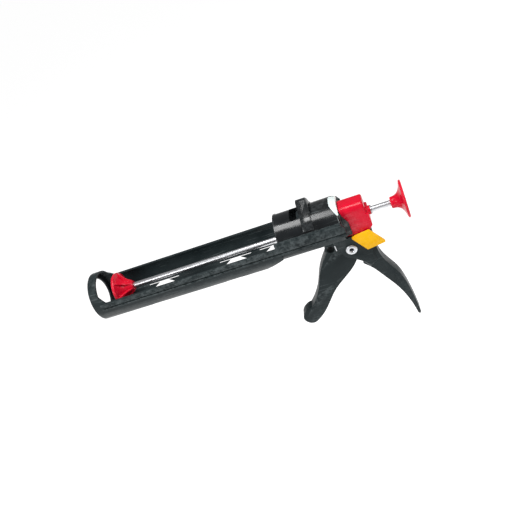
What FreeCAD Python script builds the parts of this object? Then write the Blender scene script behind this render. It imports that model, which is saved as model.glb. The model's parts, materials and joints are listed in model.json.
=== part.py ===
import FreeCAD, Part
import math
import os

V = FreeCAD.Vector
os.makedirs("parts", exist_ok=True)

# Skeleton caulking gun for a 310 ml cartridge, sizes in mm.
# +X runs rearward along the push rod, +Z is up, -Y is the left side.
# The origin is the centre of the nozzle opening on the front face.

# ---- cradle -------------------------------------------------------------
trough_r = 27.4            # outer radius of the half-round trough
trough_wall = 2.2
bay_end_x = 219.0          # rear end of the cartridge bay
ring_len = 10.0            # length of the full front ring
lip_t = 2.2
nozzle_r = 20.5            # opening for the cartridge neck
rim_z = 5.5                # height of the trough edges above the rod axis
rail_out = 1.0             # side rails stand this far proud of the trough
rail_low_z = -2.6
rise_start_x = bay_end_x - 35.0       # underside starts to rise here
rise_end_z = -10.9
groove_h = 1.4             # slot along the outside of each rail
groove_d = 1.2
groove_z = -0.7            # lower edge of that slot
window_x = (69.8, bay_end_x - 58.4, bay_end_x - 9.3)   # centres of the floor windows
window_near = 38.0         # length at the lower edge
window_waist = 12.0
window_slit = 39.0         # length of the narrow slit at the upper edge
window_a = (28.0, 44.0, 46.0)     # degrees up from the bottom centre line

# ---- rear section under the cover ----------------------------------------
shell_r = trough_r - 4.7             # lower half shell of the rear section
shell_wall = 1.8
rear_end_x = bay_end_x + 74.5
rear_rail_z = 11.5
ledge_z = 0.0
wall_x = bay_end_x + 29.0             # inner wall that carries the front bush
wall_t = 3.0
wall_top_r = shell_r - 0.7

# ---- barrel cover and its sliding catch ----------------------------------
cover_r = trough_r - 1.1
cover_wall = 2.0
cover_x0 = bay_end_x + 4.0
cover_x1 = bay_end_x + 70.4
cover_low_z = 0.6
cover_step = ((5.6, 25.0), (3.4, 21.8), (-0.2, 16.5))   # slanted rear edge: ahead of cover_x1, height
slot_x0 = bay_end_x + 22.5
slot_half = 11.5
catch_len = 11.6
catch_x0 = bay_end_x + 33.4
catch_travel = 8.0
saddle_t = 1.2
saddle_gap = 0.35
tab_top_z = cover_r + 10.9
tab_half = 2.8
tab_foot_half = cover_r - 6.0
tab_foot_z = cover_r - 9.2

# ---- tail pieces ---------------------------------------------------------
tail_r0 = cover_r - 0.3
tail_r1 = cover_r - 2.0
tail_in_r = cover_r - 6.7
tail_x0 = cover_x1 - 5.4
tail_x1 = cover_x1 + 0.2
plate_t = 1.3
plate_r = tail_in_r - 0.1
gusset_t = 1.8
gusset_len = 6.2

# ---- rod, pusher and knob -------------------------------------------------
rod_r = 3.175
rod_run = 0.06             # running clearance of the rod in its bushes
rod_forward = 19.0         # free travel of the rod from rest
rod_back = 194.0
pusher_x = 25.0            # front face of the pusher at rest
pusher_r = 19.8
pusher_t = 3.4
pusher_len = 19.0
knob_x = bay_end_x + 124.0             # front of the knob hub at rest
knob_hub_r = 6.2
knob_r = 20.3
knob_len = 15.6
knob_rim = 2.6

# ---- drive housing --------------------------------------------------------
house_len = 25.9
house_half = 11.8
house_top = 18.1
house_step = 2.3           # lower rear part stands this far behind the upper part
house_step_z = 4.0
boss_len = 4.4             # tube around the rod at the rear
bush_r = rod_r + 0.8
boss_out_r = bush_r + 0.9
house_low = -16.0
house_wall = 2.4
house_round = 7.5
house_front = 4.5

# ---- pivot, trigger and handle ----------------------------------------------
pivot_x = bay_end_x + 70.7
pivot_z = -34.8
pivot_r = 4.0
pivot_run = 0.06
cheek_r = 11.0
cheek_x0 = pivot_x - 19.2
cheek_in = 7.0
cheek_out = 10.0
handle_half = 6.8
trigger_half = 6.4
hub_r = 10.0
boss_x = pivot_x - 21.5
boss_z = pivot_z + 5.4
boss_r = 6.3
boss_hole_r = 4.3
trigger_swing = 0.38       # radians
nose_r = 2.0
nose_up = 23.3             # height of the drive nose above the pivot
nose_back = -3.2

# ---- drive plate, catch plate, springs ---------------------------------------
drive_t = 2.5
drive_gap = 0.2
drive_hole_r = rod_r + 0.15
catch_plate_t = 2.0
catch_plate_x = bay_end_x + 84.3
catch_hinge_z = 12.0
catch_hole_r = rod_r + 0.35
spring_wire = 1.2
spring_mean_r = 5.8
return_turns = 6.6
catch_turns = 3.2

# ---- release lever --------------------------------------------------------
lever_x = catch_plate_x + 4.2            # shaft centre
lever_z = -22.0
lever_shaft_r = 3.4
lever_run = 0.06
lever_t = 3.0
lever_in_y = -12.5
cam_t = 3.0
cam_up = 9.5

# ---- derived -------------------------------------------------------------
trough_in = trough_r - trough_wall
rail_y = trough_r + rail_out
shell_in = shell_r - shell_wall
cover_in = cover_r - cover_wall
plate_x0 = tail_x1 + 0.2
plate_x1 = plate_x0 + plate_t
house_x0 = plate_x1 + 0.1
house_x1 = house_x0 + house_len
nose_x = pivot_x + nose_back
nose_z = pivot_z + nose_up
drive_x1 = nose_x - nose_r - drive_gap
drive_x0 = drive_x1 - drive_t
rod_x0 = pusher_x + 3.2
rod_x1 = knob_x + knob_len - 3.0


def box(x0, x1, y0, y1, z0, z1):
    return Part.makeBox(x1 - x0, y1 - y0, z1 - z0, V(x0, y0, z0))


def cyl_x(r, x0, x1, y=0.0, z=0.0):
    return Part.makeCylinder(r, x1 - x0, V(x0, y, z), V(1, 0, 0))


def cyl_y(r, y0, y1, x, z):
    return Part.makeCylinder(r, y1 - y0, V(x, y0, z), V(0, 1, 0))


def tube_x(ro, ri, x0, x1):
    return cyl_x(ro, x0, x1).cut(cyl_x(ri, x0 - 1, x1 + 1))


def revolve_x(points):
    # closed outline given as (x, r), turned about the X axis
    wire = Part.makePolygon([V(x, 0, r) for x, r in points + points[:1]])
    return Part.Face(wire).revolve(V(0, 0, 0), V(1, 0, 0), 360)


def slab_y(edges, y0, y1):
    # closed outline in the XZ plane, extruded from y0 to y1
    face = Part.Face(Part.Wire(Part.__sortEdges__(edges)))
    face.translate(V(0, y0, 0))
    return face.extrude(V(0, y1 - y0, 0))


def poly_edges(points):
    pts = [V(x, 0, z) for x, z in points]
    return [Part.makeLine(a, b) for a, b in zip(pts[:-1], pts[1:])]


def from_pivot(points):
    return [(pivot_x + x, pivot_z + z) for x, z in points]


def curve_edge(points):
    curve = Part.BSplineCurve()
    curve.interpolate([V(x, 0, z) for x, z in points])
    return curve.toShape()


def on_arc(r, deg, x):
    # point on a circle about the rod axis, deg up from the bottom, far side +
    a = math.radians(deg)
    return V(x, r * math.sin(a), -r * math.cos(a))


def round_edges(shape, radius, test):
    edges = [e for e in shape.Edges if test(e)]
    if not edges:
        return shape
    try:
        done = shape.makeFillet(radius, edges)
        if done.isValid() and done.Volume > 0:
            return done
    except Exception:
        pass
    return shape


def chamfer_edges(shape, size, test):
    edges = [e for e in shape.Edges if test(e)]
    done = shape.makeChamfer(size, edges)
    return done if done.isValid() else shape


def helix_spring(x0, x1, mean_r, wire, turns):
    # open coil along X with the wire centre half a wire inside each end
    length = (x1 - x0) - wire
    helix = Part.makeLongHelix(length / turns, length, mean_r)
    ring = [V(mean_r + wire / 2.0 * math.cos(math.radians(45 * k)), 0,
              wire / 2.0 * math.sin(math.radians(45 * k))) for k in range(9)]
    coil = Part.Wire(helix).makePipeShell([Part.makePolygon(ring)], True, True)
    coil.rotate(V(0, 0, 0), V(0, 1, 0), 90)
    coil.translate(V(x0 + wire / 2.0, 0, 0))
    return coil


def save(name, *solids):
    shape = solids[0] if len(solids) == 1 else Part.makeCompound(list(solids))
    shape.exportStep("parts/%s.step" % name)
    print(name, len(shape.Solids), round(shape.Volume, 1), shape.isValid())


def floor_window(x_mid, side):
    # trapezoid opening with a narrow waist and a thin slit above it
    low, waist, high = window_a
    rows = [
        ((low, window_near / 2.0), (waist, window_waist / 2.0)),
        ((waist - 0.2, window_slit / 2.0), (high, window_slit / 2.0)),
    ]
    solids = []
    for (a0, h0), (a1, h1) in rows:
        ring = []
        for r in (trough_in - 2.0, trough_r + 2.0):
            pts = [
                on_arc(r, side * a0, x_mid - h0), on_arc(r, side * a0, x_mid + h0),
                on_arc(r, side * a1, x_mid + h1), on_arc(r, side * a1, x_mid - h1),
            ]
            ring.append(Part.makePolygon(pts + pts[:1]))
        solid = Part.makeLoft(ring, True, True)
        solids.append(solid.common(box(0, bay_end_x - 2.5, -40, 40, -40, 40)))
    return solids


def make_frame():
    # front ring with its inward lip
    body = tube_x(trough_r, trough_in, 0, ring_len)
    body = body.fuse(tube_x(trough_r - 0.5, nozzle_r, 0, lip_t))
    # trough
    trough = tube_x(trough_r, trough_in, ring_len - 1, bay_end_x + 2.5)
    trough = trough.cut(box(ring_len - 2, bay_end_x + 4, -40, 40, rim_z, 40))
    body = body.fuse(trough)
    # short web that blends the ring into both rims
    for side in (-1, 1):
        web = slab_y(poly_edges([
            (ring_len - 1, rim_z - 1), (ring_len + 7, rim_z - 1),
            (ring_len - 1, rim_z + 9), (ring_len - 1, rim_z - 1),
        ]), -40, 40)
        web = web.common(tube_x(trough_r, trough_in, 0, 30))
        body = body.fuse(web.common(box(0, 40, min(0, side * 40), max(0, side * 40), -40, 40)))
    # side rails of the bay
    for side in (-1, 1):
        y0 = min(side * 20, side * rail_y)
        y1 = max(side * 20, side * rail_y)
        rail = box(ring_len - 1, bay_end_x + 2, y0, y1, rail_low_z, rim_z)
        body = body.fuse(rail.cut(cyl_x(trough_in, 0, 450)))
    # underside rises toward the rear section
    wedge = slab_y(poly_edges([
        (rise_start_x, -trough_r - 1), (bay_end_x + 2.0, rise_end_z),
        (bay_end_x + 10, rise_end_z), (bay_end_x + 10, -40),
        (rise_start_x, -40), (rise_start_x, -trough_r - 1),
    ]), -40, 40)
    body = body.cut(wedge)
    # floor windows on both sides of the centre line
    for x_mid in window_x:
        for side in (-1, 1):
            for solid in floor_window(x_mid, side):
                body = body.cut(solid)
    # rear section: lower shell, shoulder, ledges and tall rails
    shell = tube_x(shell_r, shell_in, bay_end_x, rear_end_x)
    shell = shell.cut(box(150, 450, -40, 40, ledge_z, 40))
    shoulder = tube_x(trough_r, shell_in, bay_end_x, bay_end_x + 2.5)
    shoulder = shoulder.common(box(150, 450, -40, 40, rise_end_z, ledge_z))
    body = body.fuse(shell).fuse(shoulder)
    for side in (-1, 1):
        y0 = min(side * (shell_in + 0.2), side * rail_y)
        y1 = max(side * (shell_in + 0.2), side * rail_y)
        ledge = box(bay_end_x, rear_end_x - 0.4, y0, y1, rail_low_z - 0.6, ledge_z)
        rail = box(bay_end_x, rear_end_x - 0.4, y0, y1, ledge_z - 0.2, rear_rail_z)
        rail = rail.cut(cyl_x(cover_r + 0.05, 150, 450))
        rail = rail.cut(slab_y(poly_edges([
            (rear_end_x - 3.4, rear_rail_z + 1), (rear_end_x - 3.4, rear_rail_z), (rear_end_x, 6.0),
            (rear_end_x, rear_rail_z + 1), (rear_end_x - 3.4, rear_rail_z + 1),
        ]), -40, 40))
        body = body.fuse(ledge).fuse(rail)
        # slots along the outside of both rails
        y2 = min(side * (rail_y - groove_d), side * 40)
        y3 = max(side * (rail_y - groove_d), side * 40)
        body = body.cut(box(ring_len + 2, 450, y2, y3, groove_z, groove_z + groove_h))
    # inner wall for the front bush
    wall = cyl_x(wall_top_r, wall_x, wall_x + wall_t)
    wall = wall.common(box(150, 450, -40, 40, -shell_in - 0.5, 40))
    low = cyl_x(shell_in + 0.4, wall_x, wall_x + wall_t).common(
        box(150, 450, -40, 40, -40, ledge_z))
    up = wall.common(box(150, 450, -40, 40, ledge_z - 0.1, 40))
    body = body.fuse(low).fuse(up)
    body = body.cut(cyl_x(7.0, wall_x - 1, wall_x + wall_t + 1))
    # saddle under the housing, pivot cheeks and the thin rear handle
    outer = curve_edge([(house_x1 - 1.5, house_low - 0.2)] + from_pivot([
        (25.9, 0.8), (25.5, -13.2), (29.9, -31.2), (38.3, -49.2), (43.9, -74.2), (46.3, -98.2),
        (47.2, -114.2),
    ]))
    inner = curve_edge(from_pivot([
        (43.9, -115.2), (41.9, -101.2), (37.9, -84.2), (30.7, -65.2), (21.3, -47.2), (11.8, -31.2),
        (2.3, -17.7), (3.4, -10.2),
    ]))
    top = poly_edges([
        (pivot_x + 3.4, pivot_z - 10.2), (pivot_x + 3.4, house_low - 0.2),
        (house_x1 - 1.5, house_low - 0.2),
    ])
    tip = poly_edges(from_pivot([(47.2, -114.2), (45.9, -116.8), (43.9, -115.2)]))
    handle = slab_y([outer, inner] + top + tip, -handle_half, handle_half)
    cheek_line = poly_edges([
        (cheek_x0 + 1.5, -18.6), (house_x1 - 1.5, -18.6), (house_x1 - 1.5, house_low - 0.2),
        (plate_x1 + 0.2, house_low - 0.2), (plate_x1 + 0.2, -10), (cheek_x0, -10), (cheek_x0, -18.6),
        (cheek_x0 + 1.5, -18.6),
    ])
    cheek = slab_y(cheek_line, -cheek_out, cheek_out)
    skirt = slab_y(poly_edges([
        (cheek_x0 + 1.5, -17), (house_x1 - 2.6, -17), (house_x1 - 3.4, -33),
    ] + from_pivot([(19.9, -12.2), (22.3, -25.2), (12.3, -31.2), (2.9, -15.7), (-9.2, -6.1)]) + [
        (cheek_x0 + 1.5, -17),
    ]), -cheek_out, cheek_out)
    skirt = chamfer_edges(skirt, cheek_out - handle_half - 0.4, lambda e: e.BoundBox.ZMax < -46.9
                          and e.BoundBox.YLength < 0.01)
    round_cheek = cyl_y(cheek_r, -cheek_out, cheek_out, pivot_x, pivot_z)
    lower = cheek.fuse(skirt).fuse(round_cheek)
    lower = lower.cut(cyl_x(shell_in, 150, 450))
    body = body.fuse(lower).fuse(handle)
    # pocket between the cheeks for the trigger hub and its sweep
    pocket = cyl_y(hub_r + 0.8, -cheek_in, cheek_in, pivot_x, pivot_z)
    pocket = pocket.fuse(slab_y(poly_edges([
        (cheek_x0 - 16, -19.0), (pivot_x + 9.4, -19.0), (pivot_x + 9.6, pivot_z - 6.2),
        (pivot_x + 6.9, pivot_z - 18), (pivot_x + 5.9, pivot_z - 25), (cheek_x0 - 16, pivot_z - 25),
        (cheek_x0 - 16, -19.0),
    ]), -cheek_in, cheek_in))
    pocket = pocket.cut(tube_x(shell_r, shell_in, 150, 450))
    body = body.cut(pocket)
    # slot in the shell for the trigger arm
    body = body.cut(box(pivot_x - 13, pivot_x + 6.0, -5.2, 5.2, -30, -10))
    # room for the release cam, shaft bores and pivot bores
    body = body.cut(box(lever_x - 5.5, lever_x + 4.5, -cheek_in, cheek_in, lever_z - 5, -10))
    body = body.cut(cyl_y(lever_shaft_r + lever_run, -20, 20, lever_x, lever_z))
    body = body.cut(cyl_y(pivot_r + 0.02, -20, 20, pivot_x, pivot_z))
    # seat for the housing: clear above the saddle behind the plate
    body = body.cut(box(plate_x0 - 0.05, 450, -shell_in, shell_in, house_low - 0.0, 40).cut(
        box(plate_x0 - 1, 451, -40, 40, -40, house_low)))
    return body


def above_step(lift):
    # region above the slanted rear edge of the cover
    (xa, za), (xb, zb), (xc, zc) = [(cover_x1 - a, z + cover_r - 26.3) for a, z in cover_step]
    return slab_y(poly_edges([
        (xa, 60), (xa, za + lift), (xb, zb + lift), (xc, zc + lift), (xc + 5, zc + lift), (xc + 5, 60),
        (xa, 60),
    ]), -40, 40)


def make_cover():
    shell = tube_x(cover_r, cover_in, cover_x0, cover_x1)
    shell = shell.common(box(150, 450, -40, 40, cover_low_z, 40))
    lip = tube_x(cover_r + 0.7, cover_in, cover_x0, cover_x0 + 1.6)
    shell = shell.fuse(lip.common(box(150, 450, -40, 40, rear_rail_z + 0.3, 40)))
    shell = shell.cut(box(slot_x0, catch_x0 + 4.0, -slot_half, slot_half, 10, 40))
    return shell.cut(above_step(0.0))


def make_catch():
    # roof-shaped tab on a thin saddle, its foot hooks under the cover
    ri = cover_r + saddle_gap
    x1 = catch_x0 + catch_len
    saddle = tube_x(ri + saddle_t, ri, catch_x0, x1)
    saddle = saddle.common(box(150, 450, -40, 40, rear_rail_z + 2.4, 40))
    pts = [V(catch_x0, y, z) for y, z in (
        (-tab_foot_half, tab_foot_z), (-tab_half, tab_top_z), (tab_half, tab_top_z),
        (tab_foot_half, tab_foot_z), (-tab_foot_half, tab_foot_z),
    )]
    roof = Part.Face(Part.makePolygon(pts)).extrude(V(catch_len, 0, 0))
    roof = roof.cut(cyl_x(ri, 150, 450))
    ramp = slab_y(poly_edges([
        (x1 - 1.6, tab_top_z + 1), (x1 + 2, tab_top_z + 1), (x1 + 2, tab_top_z - 8),
        (x1 - 1.6, tab_top_z + 1),
    ]), -30, 30)
    roof = roof.cut(ramp)
    leg = tube_x(ri + 0.6, cover_in - 1.9, catch_x0 + 0.5, catch_x0 + 3.6)
    leg = leg.common(box(150, 450, -(slot_half - 0.5), slot_half - 0.5, 5, 40))
    foot = tube_x(cover_in - 0.35, cover_in - 1.9, catch_x0 + 0.5, catch_x0 + 3.6)
    foot = foot.common(box(150, 450, -(slot_half + 2.5), slot_half + 2.5, 5, 40))
    return saddle.fuse(roof).fuse(leg).fuse(foot)


def make_tail():
    # plain spigot inside the cover with a tapered crown above the cover's slanted edge
    spigot = tube_x(cover_in - 0.1, tail_in_r, tail_x0, tail_x1)
    spigot = spigot.common(box(150, 450, -40, 40, cover_low_z, 40))
    crown = revolve_x([
        (tail_x0, tail_in_r), (plate_x1, tail_in_r), (plate_x1, tail_r1), (tail_x0 + 0.8, tail_r0),
        (tail_x0, tail_r0),
    ])
    return spigot.fuse(crown.common(above_step(0.15))).removeSplitter()


def make_plate():
    upper = cyl_x(plate_r, plate_x0, plate_x1).common(box(150, 450, -40, 40, ledge_z + 0.1, 40))
    skirt = cyl_x(cover_in - 0.1, plate_x0, plate_x1).common(
        box(150, 450, -40, 40, ledge_z + 0.1, cover_step[2][1] + cover_r - 26.3))
    upper = upper.fuse(skirt)
    lower = cyl_x(shell_in - 0.1, plate_x0, plate_x1).common(
        box(150, 450, -40, 40, house_low + 0.2, ledge_z + 0.1))
    plate = upper.fuse(lower)
    plate = plate.cut(cyl_x(rod_r + 1.0, 150, 450))
    for side in (-1, 1):
        plate = plate.cut(cyl_x(1.6, 150, 450, side * 8.0, 9.0))
        # sloped gusset beside the housing
        inner = side * (house_half + 0.3)
        outer = side * (house_half + 0.3 + gusset_t)
        plate = plate.fuse(slab_y(poly_edges([
            (plate_x1 + 0.1, 17.5), (plate_x1 + 0.1, 12.5), (plate_x1 - 0.3, 12.5),
            (plate_x1 - 0.3, house_low + 2.5), (plate_x1 + gusset_len, house_low + 2.5),
            (plate_x1 + gusset_len, 1.5), (plate_x1 + 2.0, 10.4), (plate_x1 + 0.6, 17.5),
            (plate_x1 + 0.1, 17.5),
        ]), min(inner, outer), max(inner, outer)))
    return plate.removeSplitter()


def make_housing():
    x0, x1 = house_x0, house_x1
    body = box(x0, x1, -house_half, house_half, house_low, house_top)
    body = round_edges(body, house_round, lambda e: abs(e.BoundBox.ZMin - house_top) < 0.01
                       and e.BoundBox.XLength > house_len - 0.1)
    body = round_edges(body, 2.2, lambda e: abs(e.BoundBox.XMin - x1) < 0.01
                       and e.BoundBox.ZMax > house_low + 0.1)
    step = slab_y(poly_edges([
        (x1 - 3.0, house_step_z), (x1 + house_step, house_step_z - 0.8), (x1 + house_step, -11.3),
        (x1 - 2.4, house_low), (x1 - 3.0, house_low), (x1 - 3.0, house_step_z),
    ]), -house_half + 0.2, house_half - 0.2)
    step = round_edges(step, 1.0, lambda e: abs(e.BoundBox.XMin - (x1 + house_step)) < 0.01)
    body = body.cut(slab_y(poly_edges([
        (x1 + 1, -12.4), (x1 + 1, house_low - 1), (x1 - 4.4, house_low - 1), (x1 + 1, -12.4),
    ]), -20, 20))
    body = body.fuse(step.common(box(x1 - 3.1, x1 + 9, -20, 20, house_low, 20)))
    body = body.fuse(cyl_x(boss_out_r, x1 - 1, x1 + boss_len))
    room = box(x0 + house_front, x1 - house_wall, -house_half + house_wall,
               house_half - house_wall, house_low - 1, catch_hinge_z + 1.2)
    body = body.cut(room)
    # rod hole in the front wall and bore for the rear bush
    body = body.cut(cyl_x(rod_r + 1.0, x0 - 1, x0 + house_front + 1))
    body = body.cut(cyl_x(bush_r + 0.05, x1 - house_wall - 1, x1 + boss_len + 1))
    # notches that carry the top edge of the catch plate
    for side in (-1, 1):
        pad = box(catch_plate_x - 3.0, catch_plate_x + catch_plate_t + 3.0,
                  min(side * 6.6, side * 9.6), max(side * 6.6, side * 9.6), 10.0, 13.4)
        slot = box(catch_plate_x - 1.1, catch_plate_x + catch_plate_t + 1.1,
                   min(side * 6.5, side * 9.0), max(side * 6.5, side * 9.0), 9, 12.8)
        body = body.fuse(pad.cut(slot))
        body = body.cut(cyl_x(1.25, x0 - 1, x0 + house_front + 3, side * 8.0, 9.0))
    return body


def make_housing_screws():
    solids = []
    for side in (-1, 1):
        head = cyl_x(2.7, plate_x0 - 1.8, plate_x0 - 0.02, side * 8.0, 9.0)
        shank = cyl_x(1.22, plate_x0 - 0.5, house_x0 + house_front - 0.4, side * 8.0, 9.0)
        cross = box(plate_x0 - 2, plate_x0 - 1.0, side * 8.0 - 1.5, side * 8.0 + 1.5, 8.7, 9.3)
        solids.append(head.fuse(shank).cut(cross))
    return solids


def make_rear_bush():
    flange = cyl_x(boss_out_r - 0.2, house_x1 + boss_len + 0.02, house_x1 + boss_len + 1.4)
    spigot = cyl_x(bush_r, house_x1 - house_wall - 0.6, house_x1 + boss_len + 1)
    bush = flange.fuse(spigot)
    bush = round_edges(bush, 0.5, lambda e: abs(e.BoundBox.XMin - (house_x1 + boss_len + 1.4)) < 0.01
                       and e.BoundBox.XLength < 0.01)
    return bush.cut(cyl_x(rod_r + rod_run, 150, 450))


def make_front_bush():
    spigot = cyl_x(6.95, wall_x - 0.6, wall_x + wall_t)
    flange = cyl_x(9.0, wall_x + wall_t + 0.02, wall_x + wall_t + 1.4)
    bush = spigot.fuse(flange).fuse(cyl_x(6.95, wall_x, wall_x + wall_t + 1))
    return bush.cut(cyl_x(rod_r + rod_run, 150, 450))


def make_rivet():
    shank = cyl_y(pivot_r, -cheek_out - 0.5, cheek_out + 0.5, pivot_x, pivot_z)
    left = Part.makeCone(6.2, 4.6, 1.6, V(pivot_x, -cheek_out - 0.02, pivot_z), V(0, -1, 0))
    right = Part.makeCone(6.2, 4.6, 1.6, V(pivot_x, cheek_out + 0.02, pivot_z), V(0, 1, 0))
    rivet = shank.fuse(left).fuse(right)
    return rivet.cut(cyl_y(2.1, -20, 20, pivot_x, pivot_z))


def make_washers():
    gap = cheek_in - trigger_half
    t = gap - 0.16
    solids = []
    for side in (-1, 1):
        y = side * (trigger_half + gap / 2.0)
        ring = cyl_y(7.4, y - t / 2.0, y + t / 2.0, pivot_x, pivot_z)
        solids.append(ring.cut(cyl_y(pivot_r + 0.1, -20, 20, pivot_x, pivot_z)))
    return solids


def make_trigger():
    front = curve_edge([(boss_x - 5.4, boss_z - 2.6)] + from_pivot([
        (-37.1, -11.4), (-44.5, -25.2), (-49.7, -38.2), (-58.7, -54.2), (-67.3, -64.8),
    ]))
    lip = curve_edge(from_pivot([
        (-67.3, -64.8), (-77.1, -69.6), (-81.5, -78.4), (-76.7, -86.2), (-66.7, -85.6),
    ]))
    rear = curve_edge(from_pivot([
        (-66.7, -85.6), (-49, -68.8), (-33, -48.7), (-16.3, -34.6), (-4.1, -23.6), (5.2, -8.6),
    ]))
    back = poly_edges([
        (pivot_x + 5.2, pivot_z - 8.6), (pivot_x, pivot_z + 9.6),
        (boss_x + 1.0, boss_z + 5.9), (boss_x - 5.4, boss_z - 2.6),
    ])
    grip = slab_y([front, lip, rear] + back, -trigger_half, trigger_half)
    hub = cyl_y(hub_r, -trigger_half, trigger_half, pivot_x, pivot_z)
    boss = cyl_y(boss_r, -trigger_half, trigger_half, boss_x, boss_z)
    body = grip.fuse(hub).fuse(boss)
    # keep clear of the shell above
    body = body.cut(cyl_x(shell_r + 0.5, 150, 450))
    # arm that reaches up to the drive plate
    arm = slab_y(poly_edges([
        (pivot_x - 4.6, pivot_z + 6), (nose_x - nose_r + 0.6, nose_z),
        (nose_x + nose_r + 0.4, nose_z + 1.6), (pivot_x - 1.0, pivot_z + 16),
        (pivot_x + 4.0, pivot_z + 8), (pivot_x + 4.6, pivot_z + 6), (pivot_x - 4.6, pivot_z + 6),
    ]), -4.0, 4.0)
    nose = cyl_y(nose_r, -4.0, 4.0, nose_x, nose_z)
    body = body.fuse(arm).fuse(nose)
    body = body.cut(cyl_y(boss_hole_r, -20, 20, boss_x, boss_z))
    body = body.cut(cyl_y(pivot_r + pivot_run, -20, 20, pivot_x, pivot_z))
    body = body.cut(box(boss_x + 5.0, boss_x + 6.4, -7, -2.9, boss_z - 4.0, boss_z + 3.6))
    return body.removeSplitter()


def make_cutter():
    return box(boss_x + 5.05, boss_x + 6.35, -trigger_half - 0.4, -3.0, boss_z - 3.9, boss_z + 3.5)


def make_drive_plate():
    plate = box(drive_x0, drive_x1, -9.0, 9.0, nose_z - 4.0, 11.0)
    plate = round_edges(plate, 3.0, lambda e: e.BoundBox.XLength > drive_t - 0.1)
    return plate.cut(cyl_x(drive_hole_r, 150, 450))


def make_catch_plate():
    x0 = catch_plate_x
    x1 = x0 + catch_plate_t
    plate = box(x0, x1, -6.2, 6.2, lever_z + cam_up - 1.0, catch_hinge_z)
    ears = box(x0, x1, -8.7, 8.7, catch_hinge_z - 3.0, catch_hinge_z + 0.4)
    return plate.fuse(ears).cut(cyl_x(catch_hole_r, 150, 450)).removeSplitter()


def make_lever():
    # thin slanted paddle outside the left cheek with its cross shaft
    y0 = lever_in_y - lever_t
    face = poly_edges([
        (lever_x - 13.6, lever_z + 5.1), (lever_x + 6.8, lever_z + 7.8),
        (lever_x + 19.6, lever_z - 11.9), (lever_x - 1.2, lever_z - 14.9),
        (lever_x - 13.6, lever_z + 5.1),
    ])
    paddle = slab_y(face, y0, lever_in_y)
    paddle = round_edges(paddle, 1.2, lambda e: e.BoundBox.YLength > lever_t - 0.1)
    shaft = cyl_y(lever_shaft_r, lever_in_y - 0.5, cheek_out, lever_x, lever_z)
    collar = cyl_y(lever_shaft_r + 2.0, lever_in_y - 0.5, -cheek_out - 0.35, lever_x, lever_z)
    flat = box(lever_x - 6, lever_x + 6, -4.0, 4.0, lever_z + 2.4, lever_z + 6)
    return paddle.fuse(shaft).fuse(collar).cut(flat).removeSplitter()


def make_cam():
    # finger keyed to the flat of the lever shaft, it stands behind the catch plate
    hub = cyl_y(5.0, -3.8, 3.8, lever_x, lever_z)
    x0 = catch_plate_x + catch_plate_t + 0.25
    finger = box(x0, x0 + cam_t, -3.8, 3.8, lever_z, lever_z + cam_up + 0.3)
    hub = hub.common(box(lever_x - 4.0, lever_x + 3.6, -5, 5, lever_z - 4.6, lever_z + 6))
    cam = hub.fuse(finger)
    bore = cyl_y(lever_shaft_r + 0.02, -10, 10, lever_x, lever_z)
    bore = bore.cut(box(lever_x - 6, lever_x + 6, -11, 11, lever_z + 2.42, lever_z + 6))
    return cam.cut(bore)


def make_rod():
    rod = cyl_x(rod_r, rod_x0, rod_x1)
    nose = cyl_x(2.0, pusher_x + 0.4, rod_x0 + 0.1)
    tail = cyl_x(2.0, rod_x1 - 0.1, rod_x1 + 1.6)
    return rod.fuse(nose).fuse(tail).removeSplitter()


def make_pusher():
    x0 = pusher_x
    x1 = x0 + pusher_len
    body = revolve_x([
        (x0, 0.1), (x0, pusher_r - 1.0), (x0 + 1.0, pusher_r), (x0 + pusher_t, pusher_r),
        (x0 + pusher_t + 0.4, pusher_r - 2.6), (x0 + 6.0, 12.6), (x0 + 11.0, 8.0), (x1, 5.6), (x1, 0.1),
    ])
    for k in range(6):
        rib = slab_y(poly_edges([
            (x0 + 1, 4.0), (x0 + pusher_t, pusher_r - 0.8), (x0 + 9.0, 13.4), (x1 - 1.0, 6.4),
            (x1 - 1.0, 4.0), (x0 + 1, 4.0),
        ]), -1.0, 1.0)
        rib.rotate(V(0, 0, 0), V(1, 0, 0), 60 * k + 30)
        body = body.fuse(rib)
    body = body.cut(cyl_x(7.5, x0 - 1, x0 + 2.4))
    body = body.cut(cyl_x(2.02, x0 - 1, rod_x0 + 0.1))
    body = body.cut(cyl_x(rod_r + 0.02, rod_x0, x1 + 5))
    return body


def make_pusher_nut():
    pts = [V(pusher_x + 0.2, 4.0 * math.cos(math.radians(60 * k)), 4.0 * math.sin(math.radians(60 * k)))
           for k in range(7)]
    nut = Part.Face(Part.makePolygon(pts)).extrude(V(2.16, 0, 0))
    return nut.cut(cyl_x(2.02, 0, 60))


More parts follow.
